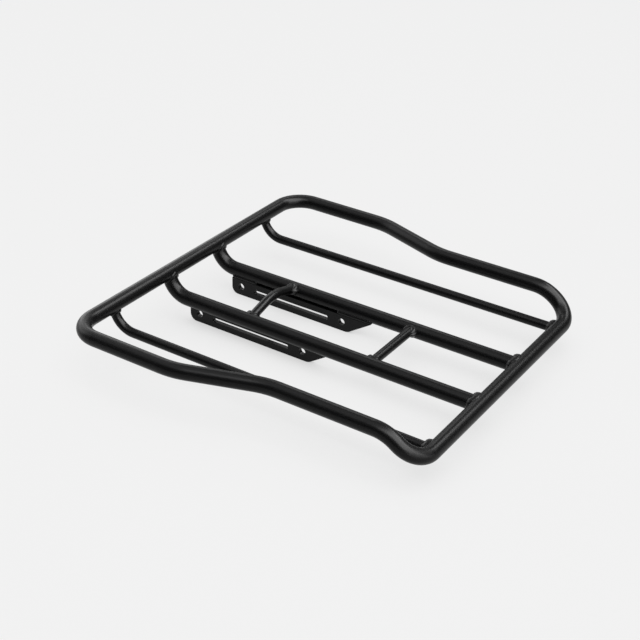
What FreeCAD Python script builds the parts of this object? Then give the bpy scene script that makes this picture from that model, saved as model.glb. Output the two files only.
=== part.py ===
"""Front luggage rack of bent steel tube, welded, on two bolt-on plates.

Millimetres.  +X runs from the raised end to the low end, +Y is the left side, +Z is up.  The rack
stands on the bottom edges of its plates, and the origin is the middle of its footprint.
Heights named *_RISE are measured from the axis of the slats.
"""
import math
import os

import FreeCAD
import Part

Vector = FreeCAD.Vector
OUT = "parts"

# Stock
TUBE_OD = 16.0
TUBE_WALL = 1.5
ROD_D = 10.0

# Perimeter loop: stations along X start at the axis of the raised end tube
LOOP_LENGTH = 379.0
WIDE_SPAN = 389.0
NARROW_SPAN = 329.0
RAIL_RISE = 25.0
LOW_END_RISE = 2.0
TAPER_START = 128.5
TAPER_LENGTH = 87.5
TAPER_BEND_R = 80.0
HIGH_CORNER_R = 30.0
LOW_CORNER_R = 26.5
DROP_ANGLE = 35.0
DROP_BEND_R = 40.0
VENT_D = 6.0

# Slats
MAIN_SPACING = 85.4
SIDE_INSET = 32.2
SLAT_BEND_R = 25.0

# Braces between the main slats
BRACE_RISE = 1.3
STRAIGHT_BRACE_X = 254.8
ARCHED_BRACE_X = 106.5
ARCH_PEAK = 12.7
ARCH_BEND_R = 60.0

# Mounting plates, one tucked under the inner flank of each main slat
PLATE_T = 5.0
PLATE_INSET = 5.2
PLATE_BITE = 0.4
PLATE_X = 26.0
PLATE_LENGTH = 153.5
PLATE_DEPTH = 26.0
PLATE_CORNER_R = 8.0
PLATE_TOE_R = 12.0
PLATE_SLOPE = 56.5
HOLE_D = 8.0
HOLE_SPACING = 133.4
HOLE_MARGIN = 12.3
HOLE_RISE = 10.4
SLOT_RISE = 9.4
SLOT_L = 98.0
SLOT_H = 5.2
SLOT_CORNER_R = 1.5

# Weld beads
WELD_LEG = 3.0
STITCH_HIGH_L = 34.0
STITCH_LOW_L = 43.0
STITCH_CROWN = 0.5

TUBE_R = TUBE_OD / 2
ROD_R = ROD_D / 2
MID_X = LOOP_LENGTH / 2
SIDES = (("left", 1), ("right", -1))

# Where the end tubes stand in the loop's path: corner, straight, corner
LOW_END = slice(7, 10)
HIGH_END = slice(17, 20)


def at(x, y, z):
    """Point from a station along the rack and a rise over the slat axis to the part's frame."""
    return Vector(x - MID_X, y, z + PLATE_DEPTH)


def bend_path(points, radii, closed=False):
    """Lines and tangent arcs through a polyline, one bend radius for each corner.

    Where two bends would run into each other, both are tightened until they just meet.
    """
    count = len(points)
    corners = range(count) if closed else range(1, count - 1)
    spans = range(count) if closed else range(count - 1)
    back, ahead, half, reach = {}, {}, {}, dict.fromkeys(range(count), 0.0)
    for i in corners:
        back[i] = (points[i - 1] - points[i]).normalize()
        ahead[i] = (points[(i + 1) % count] - points[i]).normalize()
        half[i] = back[i].getAngle(ahead[i]) / 2
        reach[i] = radii[i] / math.tan(half[i])
    for i in spans:
        j = (i + 1) % count
        room = (points[j] - points[i]).Length / max(reach[i] + reach[j], 1e-9)
        reach[i], reach[j] = reach[i] * min(1.0, room), reach[j] * min(1.0, room)
    path = []
    for i in spans:
        j = (i + 1) % count
        start = points[i] + ahead[i] * reach[i] if i in ahead else points[i]
        end = points[j] + back[j] * reach[j] if j in back else points[j]
        path.append(("line", start, end))
        if j in back:
            middle = points[j] + (back[j] + ahead[j]).normalize() * (reach[j] / math.cos(half[j]))
            axis = ahead[j].cross(back[j]).normalize()
            after = points[j] + ahead[j] * reach[j]
            path.append(("arc", end, after, middle, axis, 180 - 2 * math.degrees(half[j])))
    return path


def swept(path, radius):
    """Round bar of one radius along a path."""
    bars = []
    for kind, start, end, *bend in path:
        if kind == "line":
            if (end - start).Length > 1e-6:
                bars.append(Part.makeCylinder(radius, (end - start).Length, start, end - start))
            continue
        middle, axis, angle = bend
        along = axis.cross(start - middle)
        disc = Part.Face(Part.Wire(Part.makeCircle(radius, start, along)))
        bars.append(disc.revolve(middle, axis, angle))
    return bars[0].multiFuse(bars[1:]).removeSplitter() if len(bars) > 1 else bars[0]


def largest(shape):
    """Biggest solid of a cut, without the scraps behind the joint."""
    return max(shape.Solids, key=lambda solid: solid.Volume)


def loop_path():
    """Closed centreline of the perimeter tube."""
    wide, narrow = WIDE_SPAN / 2, NARROW_SPAN / 2
    taper_end = TAPER_START + TAPER_LENGTH
    fall = RAIL_RISE - LOW_END_RISE
    drop_x = LOOP_LENGTH - fall / math.tan(math.radians(DROP_ANGLE))
    half = [
        ((0, wide, RAIL_RISE), HIGH_CORNER_R),
        ((TAPER_START, wide, RAIL_RISE), TAPER_BEND_R),
        ((taper_end, narrow, RAIL_RISE), TAPER_BEND_R),
        ((drop_x, narrow, RAIL_RISE), DROP_BEND_R),
        ((LOOP_LENGTH, narrow, LOW_END_RISE), LOW_CORNER_R),
    ]
    other = [((x, -y, z), radius) for (x, y, z), radius in reversed(half)]
    points = [at(*point) for point, _ in half + other]
    return bend_path(points, [radius for _, radius in half + other], closed=True)


def slat_path(y, stop=0.0):
    """Slat from the low end tube's axis, or short of it, level, then up into the raised end tube."""
    points = [at(LOOP_LENGTH - stop, y, 0), at(0, y, 0), at(0, y, RAIL_RISE)]
    return bend_path(points, [0, SLAT_BEND_R, 0])


def slat_stop(radius):
    """How far short a slat stops that would else pass under the low end tube."""
    return 2 * max(0.0, radius + LOW_END_RISE - TUBE_R)


def brace_path(x, peak, radius):
    """Brace from slat to slat; with a peak its two legs climb to the middle."""
    reach = MAIN_SPACING / 2
    ends = [at(x, -reach, BRACE_RISE), at(x, reach, BRACE_RISE)]
    if not peak:
        return bend_path(ends, [])
    return bend_path([ends[0], at(x, 0, peak), ends[1]], [0, radius, 0])


def hollow(path):
    """Tube of the main stock along a path, as its outer and inner bars."""
    return swept(path, TUBE_R), swept(path, TUBE_R - TUBE_WALL)


def bead(branch, branch_r, run, run_r, solids):
    """Collar of weld where a branch lands on a run, both given by their paths, clear of the solids."""
    collar = swept(branch, branch_r + WELD_LEG).common(swept(run, run_r + WELD_LEG))
    corner = at(-TUBE_R, -WIDE_SPAN / 2, -PLATE_DEPTH)
    hold = Part.makeBox(LOOP_LENGTH + TUBE_OD, WIDE_SPAN, PLATE_DEPTH + RAIL_RISE, corner)
    collar = collar.common(hold)
    for solid in solids:
        collar = collar.cut(solid)
    return largest(collar)


def plate_top():
    """Rise of the plate's square top edge, just bedded into the slat."""
    outer = PLATE_INSET - PLATE_T / 2
    return PLATE_BITE - math.sqrt(TUBE_R ** 2 - min(abs(outer), TUBE_R) ** 2)


def plate_end():
    """Station where the plate's sloped end reaches its top edge."""
    return PLATE_X + PLATE_LENGTH + (plate_top() + PLATE_DEPTH) * math.tan(math.radians(PLATE_SLOPE))


def plate(side, slat):
    """Mounting plate with its two holes and the long slot, saddled to its slat."""
    middle = side * (MAIN_SPACING / 2 - PLATE_INSET)
    face = middle - PLATE_T / 2
    top = plate_top()
    toe = PLATE_X + PLATE_LENGTH
    outline = [(PLATE_X, top), (PLATE_X, -PLATE_DEPTH), (toe, -PLATE_DEPTH), (plate_end(), top)]
    corners = [at(x, face, z) for x, z in outline]
    body = Part.Face(Part.makePolygon(corners + corners[:1])).extrude(Vector(0, PLATE_T, 0))
    for (x, z), radius in ((outline[1], PLATE_CORNER_R), (outline[2], PLATE_TOE_R)):
        spot = at(x, middle, z)
        edges = [e for e in body.Edges if (e.CenterOfMass - spot).Length < 1e-3]
        body = body.makeFillet(radius, edges)
    row = HOLE_RISE - PLATE_DEPTH
    first = PLATE_X + HOLE_MARGIN
    for x in (first, first + HOLE_SPACING):
        body = body.cut(Part.makeCylinder(HOLE_D / 2, PLATE_T, at(x, face, row), Vector(0, 1, 0)))
    slot_x = first + (HOLE_SPACING - SLOT_L) / 2
    slot_z = SLOT_RISE - PLATE_DEPTH - SLOT_H / 2
    cutter = Part.makeBox(SLOT_L, PLATE_T, SLOT_H, at(slot_x, face, slot_z))
    across = [e for e in cutter.Edges if abs(e.tangentAt(e.FirstParameter).y) > 0.5]
    cutter = cutter.makeFillet(min(SLOT_CORNER_R, SLOT_H * 0.45), across)
    return largest(body.cut(cutter).cut(slat))


def stitch(side, start, length, slat, body):
    """Weld run that fills the wedge between a slat's inner flank and the plate's top edge."""
    axis = MAIN_SPACING / 2
    inner = PLATE_INSET + PLATE_T / 2
    top = plate_top()
    crown = max(inner, TUBE_R) + STITCH_CROWN
    section = [
        (PLATE_INSET, -TUBE_R / 2),
        (TUBE_R * 0.9, -TUBE_R * 0.1),
        (crown, -TUBE_R * 0.4),
        (crown, top),
        (inner, top - WELD_LEG),
        (PLATE_INSET, top - WELD_LEG),
    ]
    corners = [at(start, side * (axis - offset), z) for offset, z in section]
    run = Part.Face(Part.makePolygon(corners + corners[:1])).extrude(Vector(length, 0, 0))
    return largest(run.cut(slat).cut(body))


def build():
    """Every piece of the rack by node name."""
    nodes = {}
    route = loop_path()
    loop_outer, loop_inner = hollow(route)
    loop = loop_outer.cut(loop_inner)
    low_end, high_end = route[LOW_END], route[HIGH_END]
    slat_outer = {}
    plates = {}
    for name, side in SIDES:
        y = side * MAIN_SPACING / 2
        outer, inner = hollow(slat_path(y, slat_stop(TUBE_R)))
        slat_outer[name] = outer
        nodes["main_slat_" + name] = largest(outer.cut(inner).cut(loop_outer))
        loop = loop.cut(Part.makeCylinder(VENT_D / 2, RAIL_RISE, at(0, y, 0)))
        inward = at(LOOP_LENGTH, y, LOW_END_RISE)
        loop = loop.cut(Part.makeCylinder(VENT_D / 2, TUBE_OD, inward, Vector(-1, 0, 0)))
        rod = side * (NARROW_SPAN / 2 - SIDE_INSET)
        bar = swept(slat_path(rod, slat_stop(ROD_R)), ROD_R)
        nodes["side_slat_" + name] = largest(bar.cut(loop_outer))
        for kind, across, radius, solid in (("main", y, TUBE_R, outer), ("side", rod, ROD_R, bar)):
            branch = slat_path(across)
            high, low = "weld_%s_high_%s" % (kind, name), "weld_%s_low_%s" % (kind, name)
            nodes[high] = bead(branch[1:], radius, high_end, TUBE_R, [solid, loop_outer])
            nodes[low] = bead(branch[:1], radius, low_end, TUBE_R, [solid, loop_outer])
        body = plate(side, outer)
        plates[name] = nodes["plate_" + name] = body
        stitches = (("high", PLATE_X, STITCH_HIGH_L), ("low", plate_end() - STITCH_LOW_L, STITCH_LOW_L))
        for spot, start, length in stitches:
            nodes["weld_plate_%s_%s" % (spot, name)] = stitch(side, start, length, outer, body)
    nodes["perimeter_loop"] = largest(loop)
    braces = (("straight", STRAIGHT_BRACE_X, 0), ("arched", ARCHED_BRACE_X, ARCH_PEAK))
    for kind, x, peak in braces:
        path = brace_path(x, peak, ARCH_BEND_R)
        rod = swept(path, ROD_R)
        nodes["brace_" + kind] = largest(rod.cut(slat_outer["left"]).cut(slat_outer["right"]))
        for name, side in SIDES:
            leg = path[-1:] if side > 0 else path[:1]
            y = side * MAIN_SPACING / 2
            if not peak:
                leg = [("line", at(x, 0, BRACE_RISE), at(x, y, BRACE_RISE))]
            run = [("line", at(x - 2 * TUBE_OD, y, 0), at(x + 2 * TUBE_OD, y, 0))]
            around = [rod, slat_outer[name], plates[name]]
            nodes["weld_brace_%s_%s" % (kind, name)] = bead(leg, ROD_R, run, TUBE_R, around)
    return nodes


os.makedirs(OUT, exist_ok=True)
for node, solid in sorted(build().items()):
    solid.exportStep(os.path.join(OUT, node + ".step"))
    print(node, round(solid.Volume, 1), solid.isValid(), len(solid.Solids))
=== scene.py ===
"""Studio picture of a welded tubular front luggage rack in black powder coat.

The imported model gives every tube, plate and brace.  This script dresses those nodes, models the
weld beads over their plain solids, and sets up the floor, the lights and the camera.
"""

import logging
import math
from dataclasses import dataclass, field
from enum import Enum

import bmesh
import bpy
from mathutils import Matrix, Vector


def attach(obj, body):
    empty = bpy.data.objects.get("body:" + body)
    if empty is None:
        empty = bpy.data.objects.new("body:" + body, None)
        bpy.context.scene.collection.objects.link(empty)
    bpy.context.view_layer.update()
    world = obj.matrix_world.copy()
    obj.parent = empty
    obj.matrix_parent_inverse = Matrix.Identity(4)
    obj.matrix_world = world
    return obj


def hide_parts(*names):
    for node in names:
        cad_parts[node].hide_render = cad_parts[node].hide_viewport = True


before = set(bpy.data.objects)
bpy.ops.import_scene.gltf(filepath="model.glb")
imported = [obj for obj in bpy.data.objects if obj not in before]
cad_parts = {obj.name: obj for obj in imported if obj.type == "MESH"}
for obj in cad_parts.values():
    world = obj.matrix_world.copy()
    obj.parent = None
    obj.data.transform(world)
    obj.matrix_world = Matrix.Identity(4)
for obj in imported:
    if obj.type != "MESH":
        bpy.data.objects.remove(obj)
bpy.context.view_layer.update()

LOG = logging.getLogger("rack")
BODY = "root"
MM = 0.001
WHITE = (1.0, 1.0, 1.0, 1.0)
AHEAD, LEFT, UP = Vector((1.0, 0.0, 0.0)), Vector((0.0, 1.0, 0.0)), Vector((0.0, 0.0, 1.0))
MIX_FIRST, MIX_SECOND, MIX_RESULT = 6, 7, 2  # colour sockets of a Mix node


class Side(Enum):
    """The two sides of the rack, looking from the raised end to the low one."""

    LEFT = "left"
    RIGHT = "right"


class Reach(Enum):
    """What a softbox lights: everything, or only the shine of the coat, or only matt surfaces."""

    ALL = "all"
    GLOSS = "gloss"
    MATT = "matt"


def math_node(tree: bpy.types.NodeTree, operation: str, first: bpy.types.NodeSocket | float,
              second: bpy.types.NodeSocket | float) -> bpy.types.NodeSocket:
    """Add one Math node.

    Args:
        tree: The node tree that it goes into.
        operation: Its kind.
        first: Its first input, a socket or a number.
        second: Its second input, likewise.

    Returns:
        The socket with the result.
    """
    node = tree.nodes.new("ShaderNodeMath")
    node.operation = operation
    for socket, value in zip(node.inputs, (first, second)):
        if isinstance(value, bpy.types.NodeSocket):
            tree.links.new(value, socket)
        else:
            socket.default_value = value
    return node.outputs[0]


def ramp_node(tree: bpy.types.NodeTree, value: bpy.types.NodeSocket, span: tuple[float, float],
              levels: tuple[float, float]) -> bpy.types.NodeSocket:
    """Add one smooth ramp.

    Args:
        tree: The node tree that it goes into.
        value: The socket that drives it.
        span: The driving values at which it starts and ends.
        levels: The results there.

    Returns:
        The socket with the result.
    """
    node = tree.nodes.new("ShaderNodeMapRange")
    node.interpolation_type = "SMOOTHSTEP"
    node.inputs["From Min"].default_value, node.inputs["From Max"].default_value = span
    node.inputs["To Min"].default_value, node.inputs["To Max"].default_value = levels
    tree.links.new(value, node.inputs["Value"])
    return node.outputs["Result"]


def close_piece() -> None:
    """Turn the faces of the mesh in edit mode outwards, smooth it, and apply its place."""
    bpy.ops.mesh.select_all(action="SELECT")
    bpy.ops.mesh.normals_make_consistent(inside=False)
    bpy.ops.object.mode_set(mode="OBJECT")
    bpy.ops.object.shade_smooth()
    bpy.ops.object.transform_apply(location=True, rotation=True, scale=True)


@dataclass(frozen=True)
class PowderCoat:
    """Satin black powder coat with a fine orange peel."""

    name: str = "powder_coat_black"
    colour: tuple[float, float, float] = (0.0035, 0.0035, 0.0037)
    thin_colour: tuple[float, float, float] = (0.006, 0.006, 0.0063)
    roughness: float = 0.31
    roughness_spread: float = 0.03
    specular: float = 0.14
    soft_edge: float = 0.5 * MM
    peel_size: float = 0.9 * MM
    peel_detail: float = 2.0
    peel_depth: float = 0.009
    grain_size: float = 0.22 * MM
    grain_detail: float = 1.0
    cloud_size: float = 22 * MM
    cloud_detail: float = 3.0

    def material(self) -> bpy.types.Material:
        """Build the node material.

        Returns:
            The finished material.
        """
        mat = bpy.data.materials.new(self.name)
        mat.use_nodes = True
        tree = mat.node_tree
        shader = tree.nodes["Principled BSDF"]
        shader.inputs["Specular IOR Level"].default_value = self.specular
        coords = tree.nodes.new("ShaderNodeTexCoord")
        clouds = self._noise(tree, coords, 1.0 / self.cloud_size, self.cloud_detail)
        peel = self._noise(tree, coords, 1.0 / self.peel_size, self.peel_detail)
        grain = self._noise(tree, coords, 1.0 / self.grain_size, self.grain_detail)

        tint = tree.nodes.new("ShaderNodeMix")
        tint.data_type = "RGBA"
        tint.inputs[MIX_FIRST].default_value = (*self.colour, 1.0)
        tint.inputs[MIX_SECOND].default_value = (*self.thin_colour, 1.0)
        tree.links.new(clouds.outputs["Fac"], tint.inputs[0])
        tree.links.new(tint.outputs[MIX_RESULT], shader.inputs["Base Color"])

        gloss = tree.nodes.new("ShaderNodeMapRange")
        gloss.inputs["To Min"].default_value = self.roughness - self.roughness_spread
        gloss.inputs["To Max"].default_value = self.roughness + self.roughness_spread
        tree.links.new(grain.outputs["Fac"], gloss.inputs["Value"])
        tree.links.new(gloss.outputs["Result"], shader.inputs["Roughness"])

        bump = tree.nodes.new("ShaderNodeBump")
        bump.inputs["Strength"].default_value = self.peel_depth
        bump.inputs["Distance"].default_value = self.peel_size
        tree.links.new(peel.outputs["Fac"], bump.inputs["Height"])
        edge = tree.nodes.new("ShaderNodeBevel")
        edge.inputs["Radius"].default_value = self.soft_edge
        tree.links.new(edge.outputs["Normal"], bump.inputs["Normal"])
        tree.links.new(bump.outputs["Normal"], shader.inputs["Normal"])
        return mat

    @staticmethod
    def _noise(tree: bpy.types.NodeTree, coords: bpy.types.Node, scale: float,
               detail: float) -> bpy.types.Node:
        """Add one noise on object coordinates.

        Args:
            tree: The material's node tree.
            coords: Its texture coordinate node.
            scale: Waves per metre.
            detail: Octaves.

        Returns:
            The noise node.
        """
        noise = tree.nodes.new("ShaderNodeTexNoise")
        noise.inputs["Scale"].default_value = scale
        noise.inputs["Detail"].default_value = detail
        tree.links.new(coords.outputs["Object"], noise.inputs["Vector"])
        return noise


@dataclass(frozen=True)
class PaperSweep:
    """Pale studio floor.

    To the camera and in the coat's shine it is bright, with painted shade where things stand close
    to it.
    To all other light it is plain white paper.
    """

    name: str = "paper_sweep"
    glow: float = 0.84
    seen_white: float = 0.055
    paper_white: float = 0.80
    shade_reach: float = 120 * MM
    shade_depth: float = 0.5
    shade_power: float = 2.0
    shade_samples: int = 16

    def material(self) -> bpy.types.Material:
        """Build the floor material.

        Returns:
            The finished material.
        """
        mat = bpy.data.materials.new(self.name)
        mat.use_nodes = True
        tree = mat.node_tree
        tree.nodes.clear()
        out = tree.nodes.new("ShaderNodeOutputMaterial")
        path = tree.nodes.new("ShaderNodeLightPath").outputs
        seen = math_node(tree, "MAXIMUM", path["Is Camera Ray"], path["Is Glossy Ray"])
        seen = math_node(tree, "MAXIMUM", seen, path["Is Transmission Ray"])
        glow = tree.nodes.new("ShaderNodeEmission")
        glow.inputs["Color"].default_value = WHITE
        tree.links.new(self._shade(tree), glow.inputs["Strength"])
        soft = tree.nodes.new("ShaderNodeBsdfDiffuse")
        soft.inputs["Color"].default_value = (self.seen_white,) * 3 + (1.0,)
        both = tree.nodes.new("ShaderNodeAddShader")
        tree.links.new(glow.outputs[0], both.inputs[0])
        tree.links.new(soft.outputs[0], both.inputs[1])
        paper = tree.nodes.new("ShaderNodeBsdfDiffuse")
        paper.inputs["Color"].default_value = (self.paper_white,) * 3 + (1.0,)
        pick = tree.nodes.new("ShaderNodeMixShader")
        tree.links.new(seen, pick.inputs[0])
        tree.links.new(paper.outputs[0], pick.inputs[1])
        tree.links.new(both.outputs[0], pick.inputs[2])
        tree.links.new(pick.outputs[0], out.inputs["Surface"])
        return mat

    def _shade(self, tree: bpy.types.NodeTree) -> bpy.types.NodeSocket:
        """Add the floor's brightness, darkened by painted shade where the rack closes it in.

        Args:
            tree: The material's node tree.

        Returns:
            The socket that gives the brightness.
        """
        # Painted contact shade: ambient occlusion dims the floor's glow under and beside the rack.
        open_sky = tree.nodes.new("ShaderNodeAmbientOcclusion")
        open_sky.samples = self.shade_samples
        open_sky.inputs["Distance"].default_value = self.shade_reach
        closed = math_node(tree, "SUBTRACT", 1.0, open_sky.outputs["AO"])
        closed = math_node(tree, "POWER", closed, self.shade_power)
        loss = math_node(tree, "MULTIPLY", closed, -self.shade_depth * self.glow)
        return math_node(tree, "ADD", loss, self.glow)


@dataclass(frozen=True)
class Softbox:
    """One rectangular studio light, in metres and watts."""

    name: str
    place: tuple[float, float, float]
    aim: tuple[float, float, float]
    size: tuple[float, float]
    power: float
    reach: Reach = Reach.ALL

    def build(self) -> bpy.types.Object:
        """Add the light.

        Returns:
            The light object.
        """
        data = bpy.data.lights.new(self.name, "AREA")
        data.shape = "RECTANGLE"
        data.size, data.size_y = self.size
        data.energy = self.power
        lamp = bpy.data.objects.new(self.name, data)
        bpy.context.scene.collection.objects.link(lamp)
        lamp.visible_camera = False
        lamp.visible_diffuse = self.reach is not Reach.GLOSS
        lamp.visible_glossy = self.reach is not Reach.MATT
        lamp.location = self.place
        gaze = Vector(self.aim) - Vector(self.place)
        lamp.rotation_euler = gaze.to_track_quat("-Z", "Y").to_euler()
        return lamp


@dataclass(frozen=True)
class Viewpoint:
    """Camera of the picture, in degrees, millimetres and pixels of a square frame."""

    azimuth: float = 32.702
    elevation: float = 30.016
    roll: float = 1.642
    distance: float = 1372.894
    target: tuple[float, float, float] = (-25.346, 5.272, 26.0)
    focal: float = 1304.574
    frame_px: float = 640.0
    centre_px: tuple[float, float] = (320.5, 318.5)
    sensor: float = 36.0
    sight: float = 50000.0

    def build(self) -> bpy.types.Object:
        """Add the camera and make it the scene's own.

        Returns:
            The camera object.
        """
        az, el, roll = (math.radians(a) for a in (self.azimuth, self.elevation, self.roll))
        ahead = Vector((-math.sin(az) * math.cos(el), math.cos(az) * math.cos(el), -math.sin(el)))
        level = Vector((math.cos(az), math.sin(az), 0.0))
        over = level.cross(ahead)
        right = level * math.cos(roll) + over * math.sin(roll)
        up = over * math.cos(roll) - level * math.sin(roll)
        place = (Vector(self.target) - ahead * self.distance) * MM
        data = bpy.data.cameras.new("camera")
        data.sensor_width = self.sensor
        data.lens = self.focal * self.sensor / self.frame_px
        data.shift_x = 0.5 - self.centre_px[0] / self.frame_px
        data.shift_y = self.centre_px[1] / self.frame_px - 0.5
        data.clip_end = self.sight * MM
        camera = bpy.data.objects.new("camera", data)
        bpy.context.scene.collection.objects.link(camera)
        turn = Matrix((right, up, -ahead)).transposed()
        camera.matrix_world = Matrix.Translation(place) @ turn.to_4x4()
        bpy.context.scene.camera = camera
        return camera


@dataclass
class Studio:
    """Floor, lights and world round the rack, in metres.

    The air is pale to the camera.  To everything else it is a backdrop behind the rack, which
    fades with height, and a dark room in front of it.
    """

    floor_size: float = 60.0
    seen_air: float = 0.86
    dark_air: float = 0.03
    bright_air: float = 0.62
    high_air: float = 0.8
    backdrop: tuple[float, float, float] = (-0.85, 0.53, 0.0)
    backdrop_span: tuple[float, float] = (-0.1, 0.9)
    fade_span: tuple[float, float] = (0.33, 0.56)
    sweep: PaperSweep = field(default_factory=PaperSweep)
    viewpoint: Viewpoint = field(default_factory=Viewpoint)
    lights: tuple[Softbox, ...] = (
        Softbox("top_box", (0.5, -0.75, 3.0), (0.5, -0.75, 0.0), (5.4, 3.0), 58.0),
        Softbox("key_box", (1.15, -0.35, 2.98), (0.0, 0.0, 0.0), (2.6, 2.6), 35.0, Reach.MATT),
        Softbox("back_card", (1.45, 1.92, 2.82), (0.0, 0.0, 0.0), (2.6, 1.25), 98.0, Reach.GLOSS),
        Softbox("right_card", (1.75, -0.25, 2.25), (0.0, 0.0, 0.0), (3.2, 3.0), 270.0, Reach.GLOSS),
        Softbox("left_card", (-2.6, 0.0, 1.3), (0.0, 0.0, 0.0), (2.6, 2.0), 34.0, Reach.GLOSS),
        Softbox("front_card", (2.15, -0.3, 0.42), (0.0, 0.0, 0.05), (2.6, 0.7), 19.0, Reach.GLOSS),
        Softbox("near_card", (0.28, -1.57, 2.54), (0.0, 0.0, 0.0), (1.6, 1.2), 27.0, Reach.GLOSS),
        Softbox("rear_card", (-0.94, 0.51, 0.40), (-0.19, 0.0, 0.05), (0.55, 0.75), 2.8,
                Reach.GLOSS),
        Softbox("rear_top", (-0.52, 0.88, 0.86), (-0.19, 0.0, 0.05), (0.42, 0.36), 1.5,
                Reach.GLOSS),
    )

    def build(self) -> None:
        """Set up the whole studio."""
        bpy.ops.object.select_all(action="DESELECT")
        bpy.ops.mesh.primitive_plane_add(size=self.floor_size, location=(0.0, 0.0, 0.0))
        floor = bpy.context.active_object
        floor.name = "floor"
        floor.data.materials.append(self.sweep.material())
        for light in self.lights:
            light.build()
        self._world()
        self.viewpoint.build()
        bpy.context.scene.view_settings.view_transform = "Standard"

    def _world(self) -> None:
        """Fill the air with plain light."""
        world = bpy.context.scene.world or bpy.data.worlds.new("air")
        bpy.context.scene.world = world
        world.use_nodes = True
        tree = world.node_tree
        back = tree.nodes["Background"]
        back.inputs["Color"].default_value = WHITE
        coords = tree.nodes.new("ShaderNodeTexCoord")
        facing = tree.nodes.new("ShaderNodeVectorMath")
        facing.operation = "DOT_PRODUCT"
        facing.inputs[1].default_value = self.backdrop
        tree.links.new(coords.outputs["Generated"], facing.inputs[0])
        height = tree.nodes.new("ShaderNodeSeparateXYZ")
        tree.links.new(coords.outputs["Generated"], height.inputs["Vector"])
        level = ramp_node(tree, facing.outputs["Value"], self.backdrop_span,
                          (self.dark_air, self.bright_air))
        fade = ramp_node(tree, height.outputs["Z"], self.fade_span, (1.0, self.high_air))
        lit = math_node(tree, "MULTIPLY", level, fade)
        path = tree.nodes.new("ShaderNodeLightPath")
        seen = math_node(tree, "MULTIPLY", path.outputs["Is Camera Ray"], self.seen_air)
        tree.links.new(math_node(tree, "MAXIMUM", lit, seen), back.inputs["Strength"])


@dataclass(frozen=True)
class Leg:
    """Last stretch of a round bar before its weld, straight or bent, in millimetres.

    The bar ends on the axis of the tube that it is welded to, or is cut off short of it by `stop`.
    Its sides are numbered by an angle that starts at the inside of the bend.
    """

    end: Vector
    aim: Vector
    side: Vector
    radius: float
    bend: float = 0.0
    stop: float = 0.0

    def section(self, back: float) -> tuple[Vector, Vector]:
        """Find the bar's cross-section.

        Args:
            back: Distance before the bar's end, along the bar.

        Returns:
            Its centre, and the direction to the inside of the bend.
        """
        inner = self.side.cross(self.aim)
        if not self.bend:
            return self.end - self.aim * back, inner
        turn = back / self.bend
        pivot = self.end + inner * self.bend
        inner = inner * math.cos(turn) + self.aim * math.sin(turn)
        return pivot - inner * self.bend, inner

    def skin(self, back: float, angle: float) -> tuple[Vector, Vector]:
        """Find a point of the bar's skin.

        Args:
            back: Distance before the bar's end.
            angle: Place round the bar, in radians.

        Returns:
            The point, and the skin's direction outwards.
        """
        centre, inner = self.section(back)
        out = inner * math.cos(angle) + self.side * math.sin(angle)
        return centre + out * self.radius, out


@dataclass(frozen=True)
class Run:
    """Straight stretch of round tube that a leg is welded to, in millimetres."""

    spot: Vector
    along: Vector
    radius: float

    def spoke(self, point: Vector) -> Vector:
        """Give the way from the tube's axis straight out to a point."""
        gap = point - self.spot
        return gap - self.along * gap.dot(self.along)


@dataclass(frozen=True)
class Dab:
    """Thicker spot in a ring bead, in millimetres.

    `side` points to it from the leg's axis, and without a side there is no dab.
    """

    side: Vector = field(default_factory=Vector)
    face: float = 0.0
    throat: float = 0.0
    lift: float = 0.0
    ripple: float = 0.05
    focus: int = 4


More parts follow.
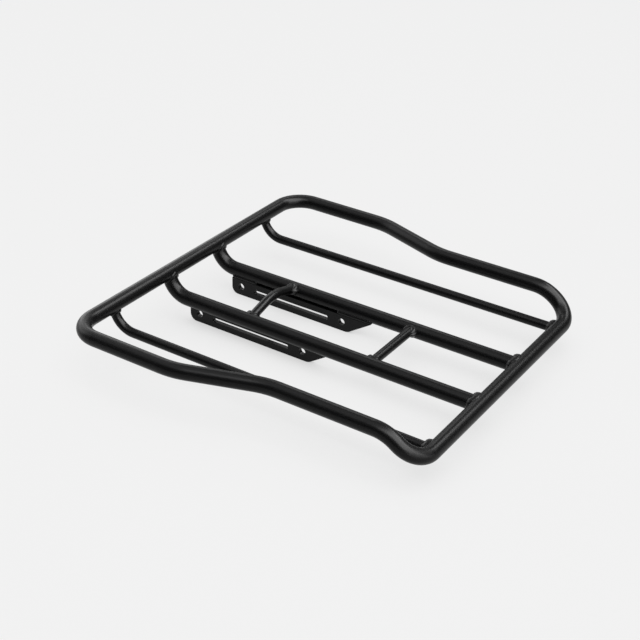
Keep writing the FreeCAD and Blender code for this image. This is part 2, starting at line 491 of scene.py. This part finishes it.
@dataclass(frozen=True)
class RingBead:
    """Weld bead round the end of a leg, in overlapping ripples, in millimetres.

    `shallow` and `sink` are shares of the thickness: by the first the bead thins where the corner
    is open, and by the second it lies in the corner.
    """

    name: str
    leg: Leg
    run: Run
    thickness: float = 3.0
    shallow: float = 0.35
    sink: float = 0.25
    drawn: float = 1.2
    least_level: float = 0.25
    ripple: float = 0.03
    overtone: tuple[float, float] = (0.35, 0.7)
    drift: float = 0.045
    drift_waves: tuple[tuple[float, float, float], ...] = ((1.0, 3.0, 0.2), (0.6, 7.0, 0.55))
    pitch: float = 4.2
    fewest_waves: int = 6
    steps: int = 6
    sides: int = 12
    dab: Dab = field(default_factory=Dab)
    hands: tuple[Side, ...] = tuple(Side)
    reach: float = 24.0
    walk_steps: int = 160
    halvings: int = 30
    rough_count: int = 48
    touching: float = 0.05
    cover: float = 0.5
    limit: float = 197.4

    def landing(self, angle: float) -> tuple[Vector, float, Vector]:
        """Walk down the leg's skin until it meets the tube.

        Args:
            angle: Place round the leg, in radians.

        Returns:
            The corner that the bead fills there, its radius, and the way out of the corner.
        """
        far, near = self.reach, self.leg.stop
        count = self.walk_steps
        backs = [far + (near - far) * i / count for i in range(count + 1)]
        depths = [self._gap(back, angle) for back in backs]
        hit = next((i for i, depth in enumerate(depths) if depth <= 0.0), None)
        if hit is None:
            back = backs[depths.index(min(depths))]
        else:
            outside, inside = backs[hit - 1], backs[hit]
            for _ in range(self.halvings):
                back = (outside + inside) / 2
                if self._gap(back, angle) > 0.0:
                    outside = back
                else:
                    inside = back
        point, out = self.leg.skin(back, angle)
        spoke = self.run.spoke(point)
        away = spoke.normalized()
        gap = max(0.0, spoke.length - self.run.radius)
        flat = max(0.0, out.dot(away))
        size = max(self.thickness * (1.0 - self.shallow * flat), gap / 2 + self.cover)
        corner = (out + away).normalized() if gap < self.touching else Vector()
        return point - away * (gap / 2), size, corner

    def _gap(self, back: float, angle: float) -> float:
        """Give the distance from a point of the leg's skin to the tube's skin."""
        return self.run.spoke(self.leg.skin(back, angle)[0]).length - self.run.radius

    def _waves(self) -> int:
        """Count the ripples that fit round the bead.

        Returns:
            Their number.
        """
        count = self.rough_count
        rough = [self.landing(math.tau * i / count)[0] for i in range(count)]
        length = sum((rough[i] - rough[i - 1]).length for i in range(count))
        return max(self.fewest_waves, round(length / self.pitch))

    def _swell(self, share: float, waves: int, heavy: float) -> float:
        """Give the bead's unevenness at a share of its length.

        Args:
            share: Place along the bead, 0 to 1.
            waves: Ripples in the whole bead.
            heavy: How much of the dab is there, 0 to 1.

        Returns:
            The factor for the bead's radius there.
        """
        strength, phase = self.overtone
        turn = math.tau * share * waves
        wave = math.sin(turn) + strength * math.sin(2 * turn + phase)
        slow = sum(part * math.sin(math.tau * (count * share + start))
                   for part, count, start in self.drift_waves)
        return 1.0 + (self.ripple + self.dab.ripple * heavy) * wave + self.drift * slow

    def stations(self) -> list[tuple[Vector, float, float]]:
        """Lay out the bead's sections.

        Returns:
            For each section its middle, its radius, and how much it is drawn out along the leg.
        """
        waves = self._waves()
        count = waves * self.steps
        spots = [self.landing(math.tau * i / count) for i in range(count)]
        walked, travel = [], 0.0
        for i in range(count):
            travel += (spots[i][0] - spots[i - 1][0]).length
            walked.append(travel)
        out = []
        for i, (spot, size, corner) in enumerate(spots):
            outwards = self.leg.skin(self.leg.stop, math.tau * i / count)[1]
            heavy = max(0.0, outwards.dot(self.dab.side)) ** self.dab.focus
            throat = (1.0 - heavy) * size * (1.0 - self.sink) + heavy * self.dab.throat
            size = (1.0 - heavy) * size + heavy * self.dab.face
            middle = spot + corner * (throat - size) - self.leg.aim * (self.dab.lift * heavy)
            size *= self._swell(walked[i] / travel, waves, heavy)
            middle.x = min(max(middle.x, size - self.limit), self.limit - size)
            step = spots[(i + 1) % count][0] - spots[i - 1][0]
            climb = step.normalized().dot(self.leg.aim)
            level = math.sqrt(max(1.0 - climb ** 2, self.least_level))
            out.append((middle, size, self.drawn / level))
        return out

    def build(self) -> bpy.types.Object:
        """Model the bead from a ring.

        Returns:
            The finished piece.
        """
        stations = self.stations()
        centre, inner = self.leg.section(self.leg.stop)
        turn = Matrix((inner, self.leg.side, inner.cross(self.leg.side))).transposed()
        bpy.ops.object.select_all(action="DESELECT")
        bpy.ops.mesh.primitive_torus_add(
            align="WORLD", location=centre * MM, rotation=turn.to_euler(),
            major_segments=len(stations), minor_segments=self.sides,
            major_radius=self.leg.radius * MM, minor_radius=self.thickness * MM)
        piece = bpy.context.active_object
        bpy.ops.object.mode_set(mode="EDIT")
        bpy.ops.mesh.select_all(action="DESELECT")
        mesh = bmesh.from_edit_mesh(piece.data)
        mesh.verts.ensure_lookup_table()
        for i, (middle, size, stretch) in enumerate(stations):
            ring = [mesh.verts[i * self.sides + j] for j in range(self.sides)]
            for vert in ring:
                vert.select = True
            mesh.select_flush(True)
            here = piece.matrix_world @ (sum((v.co for v in ring), Vector()) / self.sides)
            target = middle * MM
            bpy.ops.transform.translate(value=target - here)
            grow = size / self.thickness
            bpy.ops.transform.resize(
                value=(grow, grow, grow * stretch), orient_type="LOCAL", center_override=target)
            for vert in ring:
                vert.select = False
            mesh.select_flush(False)
        close_piece()
        return piece


@dataclass(frozen=True)
class StitchBead:
    """Straight weld run under a slat, along the top edge of a plate, in millimetres."""

    name: str
    start: Vector
    length: float
    thickness: float = 2.45
    tip: float = 0.25
    taper: float = 4.0
    ripple: float = 0.05
    pitch: float = 2.6
    steps: int = 4
    sides: int = 14
    hands: tuple[Side, ...] = tuple(Side)

    def build(self) -> bpy.types.Object:
        """Model the run from a small disc, drawn out step by step.

        Returns:
            The finished piece.
        """
        waves = round(self.length / self.pitch)
        count = waves * self.steps
        sizes = [self._size(i / count, waves) for i in range(count + 1)]
        bpy.ops.object.select_all(action="DESELECT")
        bpy.ops.mesh.primitive_circle_add(
            vertices=self.sides, radius=sizes[0] * MM, fill_type="NGON", align="WORLD",
            location=self.start * MM, rotation=(0.0, math.pi / 2, 0.0))
        piece = bpy.context.active_object
        bpy.ops.object.mode_set(mode="EDIT")
        bpy.ops.mesh.select_all(action="SELECT")
        stride = self.length / count
        for i in range(count):
            place = self.start + AHEAD * (stride * (i + 1))
            grow = sizes[i + 1] / sizes[i]
            bpy.ops.mesh.extrude_region_move(
                TRANSFORM_OT_translate={"value": (stride * MM, 0.0, 0.0)})
            bpy.ops.transform.resize(value=(1.0, grow, grow), center_override=place * MM)
        close_piece()
        return piece

    def _size(self, share: float, waves: int) -> float:
        """Give the run's radius at a share of its length.

        Args:
            share: Place along the run, 0 to 1.
            waves: Ripples in the whole run.

        Returns:
            The radius there, in millimetres.
        """
        inset = min(share, 1.0 - share) * self.length
        end = math.sqrt(max(0.0, 1.0 - (1.0 - min(1.0, inset / self.taper)) ** 2))
        wave = math.sin(math.tau * share * waves)
        return self.thickness * (self.tip + (1.0 - self.tip) * end) * (1.0 + self.ripple * wave)


Bead = RingBead | StitchBead


@dataclass(frozen=True)
class RackSizes:
    """Stations of the rack that the welds follow, and sizes of the welds, in millimetres.

    Each dab has its face, its throat and its lift, and each pair of tilts is the rise of the dabs
    at the left and right end of a brace, in degrees.
    """

    tube_r: float = 8.0
    rod_r: float = 5.0
    half_length: float = 189.5
    slat_rise: float = 26.0
    rail_rise: float = 51.0
    low_rise: float = 28.0
    slat_bend: float = 25.0
    slat_stop: float = 4.0
    main_y: float = 42.7
    side_y: float = 132.3
    low_bead: float = 5.0
    brace_rise: float = 27.3
    straight_x: float = 65.3
    straight_tilts: tuple[float, float] = (18.0, 10.0)
    arched_x: float = -83.0
    arched_tilts: tuple[float, float] = (20.0, -6.0)
    arch_slope: float = 0.267
    brace_bead: float = 3.2
    brace_shallow: float = 0.65
    brace_sink: float = 0.2
    left_dab: tuple[float, float, float] = (6.2, 3.7, 1.8)
    right_dab: tuple[float, float, float] = (3.8, 2.7, 0.4)
    plate_x: float = -163.5
    plate_end_x: float = 18.5
    stitch_high: float = 34.0
    stitch_low: float = 43.0
    stitch_inset: float = 5.9
    stitch_rise: float = 20.9


@dataclass
class Rack:
    """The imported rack, its weld beads and its coat."""

    sizes: RackSizes = field(default_factory=RackSizes)
    coat: PowderCoat = field(default_factory=PowderCoat)

    def _slat_beads(self) -> list[Bead]:
        """List the beads at the ends of the slats.

        Returns:
            The beads of the left side, to be mirrored.
        """
        at = self.sizes
        high = Run(Vector((-at.half_length, 0.0, at.rail_rise)), LEFT, at.tube_r)
        low = Run(Vector((at.half_length, 0.0, at.low_rise)), LEFT, at.tube_r)
        kinds = (("main", at.main_y, at.tube_r, at.slat_stop), ("side", at.side_y, at.rod_r, 0.0))
        rows: list[Bead] = []
        for kind, y, radius, stop in kinds:
            foot = Vector((-at.half_length, y, at.rail_rise))
            climb = Leg(foot, UP, LEFT, radius, bend=at.slat_bend)
            level = Leg(Vector((at.half_length, y, at.slat_rise)), AHEAD, LEFT, radius, stop=stop)
            rows.append(RingBead(f"weld_{kind}_high", climb, high))
            rows.append(RingBead(f"weld_{kind}_low", level, low, thickness=at.low_bead))
        return rows

    def _brace_beads(self) -> list[Bead]:
        """List the beads at the ends of the braces, whose dabs differ from side to side.

        Returns:
            The beads of both sides.
        """
        at = self.sizes
        kinds = (("arched", at.arched_x, math.atan(at.arch_slope), at.arched_tilts),
                 ("straight", at.straight_x, 0.0, at.straight_tilts))
        ends = ((Side.LEFT, 1.0, at.left_dab), (Side.RIGHT, -1.0, at.right_dab))
        rows: list[Bead] = []
        for kind, x, slope, tilts in kinds:
            for (hand, out, dab), tilt in zip(ends, map(math.radians, tilts)):
                aim = Vector((0.0, out * math.cos(slope), -math.sin(slope)))
                leg = Leg(Vector((x, out * at.main_y, at.brace_rise)), aim, AHEAD, at.rod_r)
                slat = Run(Vector((0.0, out * at.main_y, at.slat_rise)), AHEAD, at.tube_r)
                dab_side = AHEAD * (out * math.cos(tilt)) + UP * math.sin(tilt)
                rows.append(RingBead(
                    f"weld_brace_{kind}", leg, slat, thickness=at.brace_bead,
                    shallow=at.brace_shallow, sink=at.brace_sink,
                    dab=Dab(dab_side, *dab), hands=(hand,)))
        return rows

    def _plate_beads(self) -> list[Bead]:
        """List the runs along the plates.

        Returns:
            The beads of the left side, to be mirrored.
        """
        at = self.sizes
        y = at.main_y - at.stitch_inset
        high = Vector((at.plate_x, y, at.stitch_rise))
        low = Vector((at.plate_end_x - at.stitch_low, y, at.stitch_rise))
        return [StitchBead("weld_plate_high", high, at.stitch_high),
                StitchBead("weld_plate_low", low, at.stitch_low)]

    def weld(self, skin: bpy.types.Material) -> None:
        """Model every bead, mirrored where both sides are alike, in place of its packed weld.

        Args:
            skin: The coat's material.
        """
        for bead in self._slat_beads() + self._brace_beads() + self._plate_beads():
            piece = bead.build()
            for side in bead.hands:
                made = piece if side is bead.hands[0] else self._twin(piece)
                made.name = f"bead_{bead.name}_{side.value}"
                made.data.name = made.name
                made.data.materials.clear()
                made.data.materials.append(skin)
                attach(made, BODY)
                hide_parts(f"{bead.name}_{side.value}")
                LOG.info("welded %s", made.name)

    @staticmethod
    def _twin(piece: bpy.types.Object) -> bpy.types.Object:
        """Mirror a left piece to the right side.

        Args:
            piece: The left piece.

        Returns:
            Its copy, with a mesh of its own.
        """
        bpy.ops.object.select_all(action="DESELECT")
        piece.select_set(True)
        bpy.context.view_layer.objects.active = piece
        bpy.ops.object.duplicate(linked=False)
        twin = bpy.context.active_object
        bpy.ops.object.mode_set(mode="EDIT")
        bpy.ops.mesh.select_all(action="SELECT")
        bpy.ops.transform.resize(value=(1.0, -1.0, 1.0), center_override=(0.0, 0.0, 0.0))
        bpy.ops.mesh.normals_make_consistent(inside=False)
        bpy.ops.object.mode_set(mode="OBJECT")
        return twin

    def dress(self) -> None:
        """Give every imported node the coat, and model the welds."""
        skin = self.coat.material()
        for name, node in sorted(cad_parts.items()):
            node.data.materials.clear()
            node.data.materials.append(skin)
            LOG.info("coated %s", name)
        self.weld(skin)


def main() -> None:
    """Build the picture in order."""
    logging.basicConfig(level=logging.INFO, format="%(name)s: %(message)s")
    Rack().dress()
    Studio().build()


if __name__ == "__main__":
    main()
